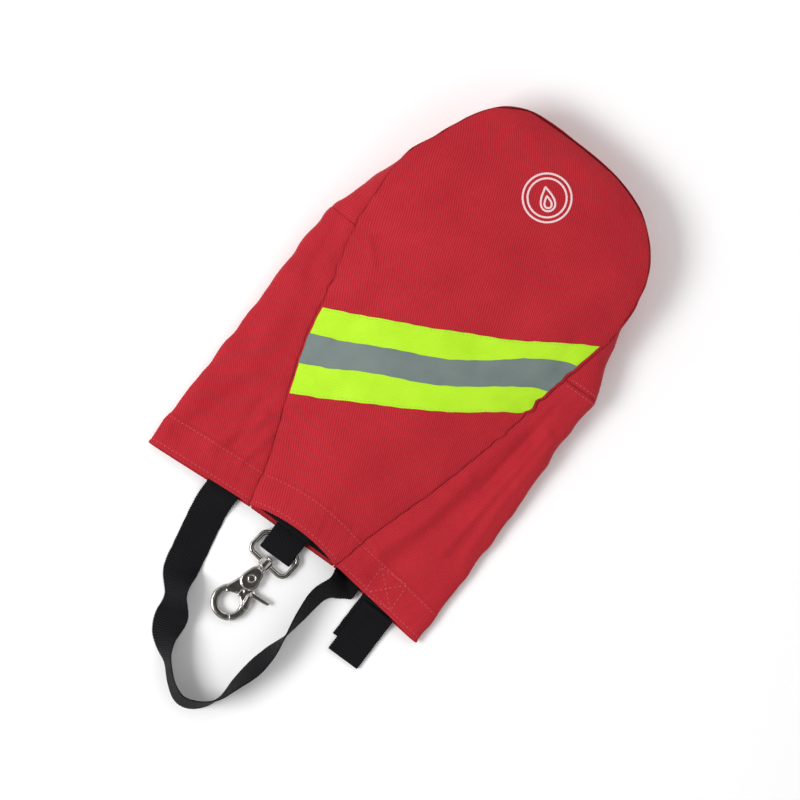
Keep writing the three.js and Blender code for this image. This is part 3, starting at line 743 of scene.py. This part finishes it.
def red_cloth():
    """Coated red polyester: ribs along the grain, a fine plain weave, soft fading and painted shade along
    the seams.
    """
    paint = Paint("red_cloth", Sheen_Weight=0.04, Sheen_Roughness=0.6, Specular_IOR_Level=0.12)
    across, grain, spot = paint.cloth()
    drift = paint.times(paint.noise(spot, 48, 1.0), 7)
    across = paint.math("ADD", across, drift)
    ribs = paint.wave(across, 1.5)
    warp = paint.wave(across, 0.47)
    weft = paint.wave(grain, 0.52)
    weave = paint.times(warp, weft)
    slubs = paint.noise(spot, 1.1, 3.0, (1, 0.22, 1))
    specks = paint.noise(spot, 0.6, 2.0)
    height = paint.math("MULTIPLY_ADD", ribs, 0.55, paint.times(weave, 0.3))
    height = paint.math("ADD", height, paint.times(slubs, 0.25))
    paint.bump(height, 0.2, 0.6)
    worn = paint.spread(paint.noise(spot, 38, 4.0), 0.3, 0.7)
    base = paint.mix(worn, linear(182, 34, 46), linear(194, 40, 51))
    lines = paint.math("MULTIPLY_ADD", ribs, 0.6, paint.times(slubs, 0.4))
    base = paint.mix(paint.spread(lines, 0.15, 0.8, 0.55, 0.0), base, linear(104, 14, 24))
    base = paint.mix(paint.spread(specks, 0.52, 0.78, 0, 0.22), base, linear(214, 76, 84))
    # painted shade darkens the cloth along the seams
    base = paint.mix(paint.times(paint.value("painted_seam_shade"), 0.5), base, linear(84, 10, 18))
    rough = paint.spread(paint.noise(spot, 9, 3.0), 0.2, 0.8, 0.66, 0.84)
    return paint.done(Base_Color=base, Roughness=rough, Sheen_Tint=(1, 0.6, 0.6, 1))


def thread(name, colour, shade):
    """Twisted sewing thread."""
    paint = Paint(name, Sheen_Weight=0.3)
    spot = paint.place()
    twist = paint.noise(spot, 0.35, 2.0)
    paint.bump(twist, 0.08, 0.5)
    return paint.done(Base_Color=paint.mix(twist, colour, shade), Roughness=0.6)


def black_webbing():
    """Black nylon webbing: cross ribs made of fine lengthwise yarns with painted highlights on their
    crests, a dull sheen and pale dust.
    """
    paint = Paint("black_webbing", Specular_IOR_Level=0.07)
    across, grain, spot = paint.cloth()
    ribs = paint.wave(grain, RIB)
    yarns = paint.wave(across, 0.62)
    height = paint.math("MULTIPLY_ADD", ribs, 0.7, paint.times(yarns, 0.3))
    paint.bump(height, 0.28, 0.7)
    dust = paint.spread(paint.noise(spot, 1.4, 5.0), 0.62, 0.85, 0, 0.2)
    wear = paint.spread(paint.noise(spot, 22, 3.0), 0.3, 0.7)
    base = paint.mix(wear, linear(6, 6, 7), linear(13, 13, 15))
    # painted highlight: the ribs' crests are painted lighter, as if they caught the light
    base = paint.mix(paint.times(ribs, 0.5), base, linear(34, 34, 38))
    base = paint.mix(dust, base, linear(44, 43, 46))
    return paint.done(Base_Color=base, Roughness=0.66)


def lime_tape():
    """Fluorescent lime tape: knitted lines along it, faint uneven tone and a painted glow that stands in
    for its fluorescent brightness.
    """
    paint = Paint("lime_tape", Specular_IOR_Level=0.15)
    along_tape, across, spot = paint.cloth()
    uneven = paint.times(paint.noise(spot, 20), 0.6)
    lines = paint.wave(paint.math("ADD", across, uneven), 1.05)
    knots = paint.wave(along_tape, 0.7)
    height = paint.math("MULTIPLY_ADD", lines, 0.7, paint.times(knots, 0.3))
    paint.bump(height, 0.13, 0.5)
    soft = paint.spread(paint.noise(spot, 24, 3.0), 0.3, 0.7)
    base = paint.mix(soft, linear(170, 220, 34), linear(184, 232, 46))
    base = paint.mix(paint.times(lines, 0.4), base, linear(146, 200, 16))
    fine = paint.spread(paint.noise(spot, 0.8, 2.0), 0.5, 0.8, 0, 0.3)
    base = paint.mix(fine, base, linear(206, 246, 80))
    # painted glow: a weak emission of the tape's own colour, though the tape is no lamp
    return paint.done(Base_Color=base, Roughness=0.7, Emission_Color=base, Emission_Strength=0.04)


def silver_tape():
    """Grey reflective tape: a film of glass beads with soft clouds, fine scuffs and creases."""
    paint = Paint("silver_tape", Specular_IOR_Level=0.25)
    _, _, spot = paint.cloth()
    beads = paint.voronoi(spot, 0.5)
    clouds = paint.spread(paint.noise(spot, 30, 3.0), 0.3, 0.7)
    scuffs = paint.spread(paint.noise(spot, 2.2, 5.0, (0.25, 1, 1)), 0.62, 0.8, 0, 0.3)
    base = paint.mix(clouds, linear(100, 113, 110), linear(114, 127, 123))
    base = paint.mix(scuffs, base, linear(86, 96, 95))
    base = paint.mix(paint.spread(beads, 0.0, 0.3, 0.15, 0), base, linear(170, 180, 178))
    paint.bump(beads, 0.05, 0.4)
    rough = paint.spread(clouds, 0, 1, 0.5, 0.62)
    return paint.done(Base_Color=base, Roughness=rough)


def print_ink():
    """Screen-printed ink, pale pink over red, broken where it sinks into the weave."""
    paint = Paint("print_ink")
    across, grain, spot = paint.cloth()
    holes = paint.spread(paint.noise(spot, 0.5, 3.0), 0.56, 0.72)
    base = paint.mix(holes, linear(234, 204, 206), linear(206, 100, 106))
    paint.bump(paint.times(paint.wave(across, 0.5), paint.wave(grain, 0.5)), 0.08, 0.5)
    return paint.done(Base_Color=base, Roughness=0.7)


def fleece():
    """Black brushed fleece, matted into small curls."""
    paint = Paint("fleece", Specular_IOR_Level=0.1)
    _, _, spot = paint.cloth()
    curls = paint.noise(spot, 0.9, 5.0)
    paint.bump(curls, 0.6, 0.8)
    base = paint.mix(paint.spread(curls, 0.35, 0.7), linear(8, 8, 9), linear(30, 30, 33))
    return paint.done(Base_Color=base, Roughness=0.9)


def closure(name, pitch):
    """Hook-and-loop tape: rows of hooks, or a mat of loops."""
    paint = Paint(name, Specular_IOR_Level=0.15)
    _, _, spot = paint.cloth()
    dots = paint.voronoi(spot, pitch)
    paint.bump(paint.spread(dots, 0, 0.6, 1, 0), 0.5, 0.9)
    base = paint.mix(paint.spread(dots, 0.1, 0.6), linear(30, 30, 32), linear(9, 9, 10))
    return paint.done(Base_Color=base, Roughness=0.7)


def nickel(name, colour, roughness):
    """Plated metal with polishing marks, faint pitting and darker film in soft patches."""
    paint = Paint(name, Metallic=1.0)
    spot = paint.place()
    marks = paint.noise(spot, 0.5, 4.0, (1, 0.15, 1))
    pits = paint.spread(paint.voronoi(spot, 1.3), 0.0, 0.12, 1, 0)
    film = paint.spread(paint.noise(spot, 5, 4.0), 0.35, 0.75)
    base = paint.mix(film, colour, tuple(0.6 * c for c in colour))
    base = paint.mix(paint.times(pits, 0.35), base, tuple(0.4 * c for c in colour))
    paint.bump(paint.math("ADD", marks, paint.times(pits, -0.4)), 0.03, 0.35)
    rough = paint.spread(marks, 0.2, 0.8, roughness, roughness + 0.14)
    return paint.done(Base_Color=base, Roughness=rough)


RED = red_cloth()
RED_THREAD = thread("red_thread", linear(178, 44, 54), linear(198, 78, 86))
LIME_THREAD = thread("lime_thread", linear(150, 202, 24), linear(184, 228, 60))
BLACK = black_webbing()
LIME = lime_tape()
SILVER = silver_tape()
INK = print_ink()
FLEECE = fleece()
HOOKS = closure("closure_hooks", 0.9)
LOOPS = closure("closure_loops", 0.6)
NICKEL = nickel("dark_nickel", (0.72, 0.69, 0.64), 0.1)
SPRING_STEEL = nickel("spring_steel", (0.58, 0.57, 0.55), 0.22)

# ---------- the bag ----------

# The back, the front and two heights between them, given for the gussets, their linings and their stitches.
GUSSETS = ("bag_back", "bag_front", (0, 0, 3 * MM), (0, 0, 10 * MM))
FRONT_MOUTH = (0, -1, 5)
FRONT_LEFT = (-1, 0, 1)
MOUTH_LEFT = (-1, -1, 0)

FRONT_CELLS = (10, 20)
SIDE_CELLS = (10, 8)
END_CELLS = (26, 8)

front_edges = ("seam", "seam", "hem", "seam")
left_edges = ("hem", "flat", "seam", "seam")
right_edges = ("hem", "cross", "seam", "seam")
end_edges = ("flat", "cross", "seam", "seam")
front = cloth_panel("front_panel", FRONT_CELLS, MOUTH_LEFT, front_edges, "bag_front", grain=24)
front_tree = tree_of(front)
left = cloth_panel("left_gusset", SIDE_CELLS, FRONT_MOUTH, left_edges, GUSSETS, 2, -1, grain=-12)
right = cloth_panel("right_gusset", SIDE_CELLS, FRONT_MOUTH, right_edges, GUSSETS, 2, 1, grain=8)
end = cloth_panel("end_gusset", END_CELLS, FRONT_LEFT, end_edges, GUSSETS, grain=90)

lining_sheet("front_lining", FRONT_CELLS, MOUTH_LEFT, "bag_front")
lining_sheet("left_gusset_lining", SIDE_CELLS, FRONT_MOUTH, GUSSETS, cut=3)
lining_sheet("right_gusset_lining", SIDE_CELLS, FRONT_MOUTH, GUSSETS, cut=3)
lining_sheet("end_gusset_lining", END_CELLS, FRONT_LEFT, GUSSETS)
tape_sheet("mouth_hook_tape", (10, 3), HOOKS, "bag_front")
tape_sheet("mouth_loop_tape", (26, 1), LOOPS, "bag_back")


def flat_outline(node):
    """The outline of a flat CAD plate, in order, with its lower and upper height."""
    low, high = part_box(node)
    bm = bmesh.new()
    bm.from_mesh(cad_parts[node].data)
    bmesh.ops.remove_doubles(bm, verts=bm.verts, dist=WELD * MM)
    top = {v for v in bm.verts if abs(v.co.z - high.z) < WELD * MM}

    def on_top(element):
        return all(v in top for v in element.verts)

    rim = {}
    for e in bm.edges:
        if on_top(e) and sum(on_top(f) for f in e.link_faces) == 1:
            for v in e.verts:
                rim.setdefault(v, []).append(e.other_vert(v))
    start = next(iter(rim))
    line = [start, rim[start][0]]
    while line[-1] is not start:
        line.append(next(v for v in rim[line[-1]] if v is not line[-2]))
    outline = np.array([v.co[:2] for v in line[:-1]]) / MM
    bm.free()
    return outline, low.z / MM, high.z / MM


def flat_cloth(node, material, step, hem):
    """A flat panel resting on the floor: its upper skin has the seam edge, hem and puckers."""
    outline, low, high = flat_outline(node)
    closed = np.concatenate([outline, outline[:1]])
    rim = resample(np.pad(closed, ((0, 0), (0, 1))), step)[:-1, :2]
    xs = np.arange(outline[:, 0].min(), outline[:, 0].max(), step)
    ys = np.arange(outline[:, 1].min(), outline[:, 1].max(), step)
    gx, gy = [g.ravel() for g in np.meshgrid(xs, ys)]
    inside = np.zeros(len(gx), bool)
    for (ax, ay), (bx, by) in zip(closed, closed[1:]):
        crosses = (ay > gy) != (by > gy)
        inside ^= crosses & (gx < ax + (gy - ay) / (by - ay + 1e-12) * (bx - ax))
    seeds = np.stack([gx, gy], -1)[inside]
    away = np.min(np.linalg.norm(seeds[:, None] - rim[None], axis=-1), axis=1)
    seeds = seeds[away > 0.55 * step]
    flat = np.concatenate([rim, seeds])
    loop = list(range(len(rim)))
    made, _, faces, *_ = delaunay_2d_cdt([Vector(p) for p in flat], [], [loop], 1, 1e-4)
    flat = np.array([p[:] for p in made])
    away = np.min(np.linalg.norm(flat[:, None] - rim[None], axis=-1), axis=1)
    turn = np.arctan2(flat[:, 1], flat[:, 0]) * 90
    rise = -0.35 * np.exp(-away / 1.2) + 0.1 * ripple(turn, 9, 3) * np.exp(-away / 8)
    if hem:
        rise += 0.3 * (1 - smooth(flat[:, 1] - outline[:, 1].min(), HEM - 1, HEM + 1))
    upper = np.column_stack([flat, np.full(len(flat), high) + rise])
    lower = np.column_stack([flat, np.full(len(flat), low) + 0.02 - 0.3 * np.minimum(rise, 0)])
    total = len(flat)
    ring = [int(np.argmin(np.linalg.norm(flat - p, axis=1))) for p in rim]
    if sum(a[0] * b[1] - b[0] * a[1] for a, b in zip(rim, np.roll(rim, -1, 0))) < 0:
        ring = ring[::-1]
    skin = [list(f) for f in faces]
    walls = [[a, a + total, b + total, b] for a, b in zip(ring, ring[1:] + ring[:1])]
    shell = skin + [[v + total for v in reversed(f)] for f in skin] + walls
    points = np.concatenate([upper, lower])
    # painted shade along the panel's edge, where the seam lies in shadow
    values = {"painted_seam_shade": np.tile(np.exp(-away / 0.7), 2)}
    piece = mesh_piece(node + "_cloth", points, shell, material, np.tile(flat, (2, 1)), values)
    stand_in(piece, [node], "bag_back")


flat_cloth("back_panel", RED, 2.6, True)
flat_cloth("back_lining", FLEECE, 4.0, False)

# ---------- trims, print and stitching ----------

lime_top, lime_side = trim_sheet("lime_trim", (18, 4), front, front_tree, 0.42, LIME, 61)
trim_sheet("silver_trim", (18, 2), front, front_tree, 0.72, SILVER, 61)


def trim_row(far):
    """The line of stitches along the lime tape's near or far long edge."""
    rows = []
    for line, run in zip(lime_top, lime_side):
        wanted = run[-1] - TRIM_STITCHES if far else TRIM_STITCHES
        rows.append(at(wanted, run, line))
    rows = np.array(rows)[2:-2]
    return rows, np.tile([0.0, 0.0, 1.0], (len(rows), 1))


stitches("lime_stitches", [trim_row(False), trim_row(True)], "bag_front", LIME_THREAD)


def hem_rows(panel, edge):
    return [row_at(panel, edge, d) for d in HEM_STITCHES]


stitches("front_hem_stitches", hem_rows(front, 2), "bag_front", RED_THREAD)
stitches("left_hem_stitches", hem_rows(left, 0), GUSSETS, RED_THREAD)
stitches("right_hem_stitches", hem_rows(right, 0), GUSSETS, RED_THREAD)
stitches("cross_stitches", [row_at(right, 1, 2.2), row_at(end, 1, 2.2)], GUSSETS, RED_THREAD)


def draped_rows(tree, lines):
    """Straight lines of stitches laid on a panel."""
    rows = []
    for (x0, y0), (x1, y1) in lines:
        t = np.linspace(0, 1, 40)
        rows.append(lay(tree, x0 + (x1 - x0) * t, y0 + (y1 - y0) * t))
    return rows


right_tree = tree_of(right)
tab_low, tab_high = corners("tab_sewn_end")
left_x, right_x, mouth_y = tab_low[0], tab_high[0], tab_low[1] + 3
box = (
    (left_x, mouth_y),
    (right_x - 3, mouth_y + 1.5),
    (right_x - 4, mouth_y + 22),
    (left_x, mouth_y + 21),
)
box_lines = [*zip(box, box[1:] + box[:1]), (box[0], box[2]), (box[1], box[3])]
stitches("tab_box_stitches", draped_rows(right_tree, box_lines), GUSSETS, RED_THREAD)

STRIP = 0.68  # half width of the print's lines
PRINT_TILT = math.radians(45)


def print_lines(centre, radius):
    """A plain generic print: a flame inside two rings."""
    turn = np.linspace(0, 2 * math.pi, 97)
    ring = np.stack([np.cos(turn), np.sin(turn)], -1)
    drop = np.linspace(0, 2 * math.pi, 41)
    flame = np.stack([0.4 * np.sin(drop) * np.sin(drop / 2) ** 1.2, 0.5 * np.cos(drop) - 0.05], -1)
    across = np.array([math.cos(PRINT_TILT), math.sin(PRINT_TILT)])
    up = np.array([-across[1], across[0]])
    lines = [ring, 0.8 * ring, flame, 0.5 * flame + np.array([0, -0.15])]
    return [radius * (line @ np.array([across, up])) + centre for line in lines]


# Section of a printed line: places across it, in half widths, and heights over the cloth.
INK_SECTION = ((-1, 0.03), (-0.5, 0.09), (0.5, 0.09), (1, 0.03), (1, -0.12), (-1, -0.12))


def printed_emblem():
    low, high = (corner[:2] for corner in corners("printed_badge"))
    points, faces = [], []
    for line in print_lines((low + high) / 2, min(high - low) / 2 - STRIP):
        run = lengths(line)
        even = np.linspace(0, run[-1], int(run[-1] / 0.6) + 2)
        line = at(even, run, line)
        ahead = np.gradient(line, axis=0)
        ahead[0] = ahead[-1] = ahead[0] + ahead[-1]
        ahead = unit(ahead)
        aside = np.stack([-ahead[:, 1], ahead[:, 0]], -1)
        base = len(points)
        for offset, lift in INK_SECTION:
            xy = line + aside * STRIP * offset
            place, up = lay(front_tree, xy[:, 0], xy[:, 1])
            points.extend(place + up * lift)
        count = len(line)
        rows = len(INK_SECTION)
        for row in range(rows):
            for k in range(count - 1):
                a = base + row * count + k
                b = base + (row + 1) % rows * count + k
                faces.append((a, a + 1, b + 1, b))
        faces.append([base + row * count for row in range(rows)])
        faces.append([base + row * count + count - 1 for row in reversed(range(rows))])
    piece = mesh_piece("printed_emblem", points, faces, INK, np.array(points)[:, :2])
    stand_in(piece, ["printed_badge"], "bag_front")


printed_emblem()

# ---------- webbing pieces ----------


def sewn_ply(node, ply, across, gap=0.1):
    """Middle line of one ply of a sewn end, from deep in the mouth outwards, and its width directions."""
    low, high = corners(node)
    y = np.linspace(high[1], low[1] - gap, 12)
    x = np.full(12, (low[0] + high[0]) / 2)
    z = np.full(12, high[2] - WEBBING / 2 if ply else low[2] + WEBBING / 2)
    return np.column_stack([x, y, z]), np.tile(across, (12, 1))


def joined(*runs):
    """Lines of webbing joined end to end, with their width directions, and rounded where they meet."""
    line = np.concatenate([run[0] for run in runs])
    across = unit(np.concatenate([run[1] for run in runs]))
    run = lengths(line)
    even = np.linspace(0, run[-1], int(run[-1] / 0.5) + 1)
    both = at(even, run, np.concatenate([line, across], 1))
    reach = 7  # points to each side that a point is averaged with
    padded = np.pad(both, ((reach, reach), (0, 0)), mode="edge")
    soft = np.mean([padded[k : k + len(both)] for k in range(2 * reach + 1)], axis=0)
    soft[:reach], soft[-reach:] = both[:reach], both[-reach:]
    return soft[:, :3], soft[:, 3:]


def back_to_front(run):
    return run[0][::-1], run[1][::-1]


def hinge_line(node, before=2.5, after=5.0):
    """Where webbing bends as it leaves the mouth."""
    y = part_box(node)[0].y
    return (0, y + before * MM, 0), (0, y - after * MM, 0)


strap = swept_line("carry_strap", 90, (-1, 0.2, 0))
flat = strap[1][-1] * (1, 1, 0)  # the right end lies flat once it is in the mouth
strap = joined(
    sewn_ply("strap_left_end", 0, strap[1][0]),
    (strap[0][:-4], strap[1][:-4]),
    back_to_front(sewn_ply("strap_right_end", 0, flat)),
)
bend = ("bag_back", "strap", *hinge_line("strap_left_end"))
strap_nodes = ("carry_strap", "strap_left_end", "strap_right_end")
webbing("carry_strap_webbing", *strap, strap_nodes, bend)

tab = swept_line("keeper_tab_lower", 12, (-1, 1, 0))
tab = joined(sewn_ply("tab_sewn_end", 0, tab[1][0]), tab)
bend = ("bag_back", "tab_lower", *hinge_line("tab_sewn_end"))
webbing("keeper_tab_lower_webbing", *tab, ["keeper_tab_lower"], bend)
upper_end = sewn_ply("tab_sewn_end", 1, (1, 0, 0), 0.4)
webbing("tab_sewn_end_webbing", *upper_end, ["tab_sewn_end"], "bag_back")
upper = swept_line("keeper_tab_upper", 14, (-1, 1, 0))
webbing("keeper_tab_upper_webbing", *upper, ["keeper_tab_upper"], "tab_upper")


def snap_loop():
    """The loop that carries the snap: out of the mouth, round the eye's bar and back in."""
    low, high = corners("snap_loop")
    ply_y = high[1] + np.array([0, -3.5, -7.5, -12.5, -17.7])
    upper_ply = np.column_stack([ply_y, [6.2, 6.6, 6.6, 6.3, 4.9]])
    lower_ply = np.column_stack([ply_y, [4.3, 2.3, 1.1, 0.9, 1.5]])
    fold = math.pi / 2 + math.pi * np.arange(1, 8) / 8
    turned = np.column_stack([ply_y[-1] + 1.7 * np.cos(fold), 3.2 + 1.7 * np.sin(fold)])
    hairpin = np.concatenate([upper_ply, turned, lower_ply[::-1]])
    hairpin = along(hairpin[:, None], np.linspace(0, len(hairpin) - 1, 200))[:, 0]
    line = np.column_stack([np.full(len(hairpin), (low[0] + high[0]) / 2), hairpin])
    across = np.tile([1.0, 0, 0], (len(hairpin), 1))
    upper_end = sewn_ply("snap_loop_sewn_end", 1, (1, 0, 0))
    lower_end = back_to_front(sewn_ply("snap_loop_sewn_end", 0, (1, 0, 0)))
    line, across = joined(upper_end, (line, across), lower_end)
    bend = ("bag_back", "loop", *hinge_line("snap_loop_sewn_end"))
    webbing("snap_loop_webbing", line, across, ("snap_loop", "snap_loop_sewn_end"), bend)


snap_loop()

# ---------- metal ----------


def cast_metal(node, voxel, passes, material):
    """A CAD node kept as it is, with its sharp edges rounded as a casting's are."""
    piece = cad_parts[node]
    remesh = piece.modifiers.new("round", "REMESH")
    remesh.mode = "VOXEL"
    remesh.voxel_size = voxel * MM
    remesh.use_smooth_shade = True
    soften = piece.modifiers.new("soften", "SMOOTH")
    soften.factor = 0.5
    soften.iterations = passes
    piece.data.materials.clear()
    piece.data.materials.append(material)


for node in ("swivel_eye", "hook_body", "swivel_post", "gate_lever", "gate_rivet"):
    cast_metal(node, 0.22, 4, NICKEL)
cast_metal("gate_spring", 0.12, 2, SPRING_STEEL)

# ---------- floor, light and camera ----------


def studio_floor():
    paint = Paint("studio_floor")
    spot = paint.place()
    grain = paint.noise(spot, 3, 3.0)
    paint.bump(grain, 0.02, 0.2)
    base = paint.mix(grain, (0.93, 0.93, 0.93), (0.95, 0.95, 0.95))
    material = paint.done(Base_Color=base, Roughness=0.9)
    mesh = bpy.data.meshes.new("floor")
    rim = [(x * 3.0, y * 3.0, 0) for x, y in ((-1, -1), (1, -1), (1, 1), (-1, 1))]
    mesh.from_pydata(rim, [], [(0, 1, 2, 3)])
    mesh.materials.append(material)
    in_scene("floor", mesh)


def softbox(name, place, size, power):
    """A soft rectangular lamp that faces the bag's origin."""
    data = bpy.data.lights.new(name, "AREA")
    data.shape = "RECTANGLE"
    data.size, data.size_y = size
    data.energy = power
    light = in_scene(name, data)
    light.location = place
    light.rotation_euler = (-place).to_track_quat("-Z", "Y").to_euler()


def studio_world():
    """Even pale walls round a dark ceiling, so that metal seen from above keeps its contrast."""
    world = bpy.data.worlds.new("studio")
    world.use_nodes = True
    tree = world.node_tree
    where = tree.nodes.new("ShaderNodeTexCoord")
    parts = tree.nodes.new("ShaderNodeSeparateXYZ")
    tree.links.new(where.outputs["Generated"], parts.inputs[0])
    level = tree.nodes.new("ShaderNodeMapRange")
    for socket, number in zip(level.inputs[1:5], (0.82, 0.96, 0.68, 0.05)):
        socket.default_value = number
    tree.links.new(parts.outputs[2], level.inputs[0])
    tree.links.new(level.outputs[0], tree.nodes["Background"].inputs["Strength"])
    tree.nodes["Background"].inputs["Color"].default_value = (1, 1, 1, 1)
    bpy.context.scene.world = world


LAMP_HEIGHT = Vector((0, 0, 1.6))
IMAGE_RIGHT = Vector((0.8048, 0.5935, 0))  # the view's right, in the bag's frame
IMAGE_UP = Vector((-0.5935, 0.8048, 0))
VIEW_CENTRE = Vector((6.9, -44.3, 20)) * MM
VIEW_WIDTH = 541.6 * MM
VIEW_DISTANCE = 2.4


def camera():
    """A long lens straight above the bag, turned so that the bag lies slanted in the picture."""
    data = bpy.data.cameras.new("camera")
    data.sensor_width = 36
    data.lens = data.sensor_width * VIEW_DISTANCE / VIEW_WIDTH
    data.clip_end = 20
    view = in_scene("camera", data)
    back = IMAGE_RIGHT.cross(IMAGE_UP)
    turn = [[IMAGE_RIGHT[k], IMAGE_UP[k], back[k]] for k in range(3)]
    view.matrix_world = Matrix(turn).to_4x4()
    view.location = VIEW_CENTRE + back * VIEW_DISTANCE
    bpy.context.scene.camera = view


studio_floor()
studio_world()
softbox("key", LAMP_HEIGHT - IMAGE_RIGHT * 1.4 - IMAGE_UP * 0.2, (1.1, 0.9), 31)
softbox("fill", LAMP_HEIGHT + IMAGE_UP * 0.8 + IMAGE_RIGHT * 0.7, (1.2, 1.2), 6)
camera()
bpy.context.scene.view_settings.view_transform = "Standard"
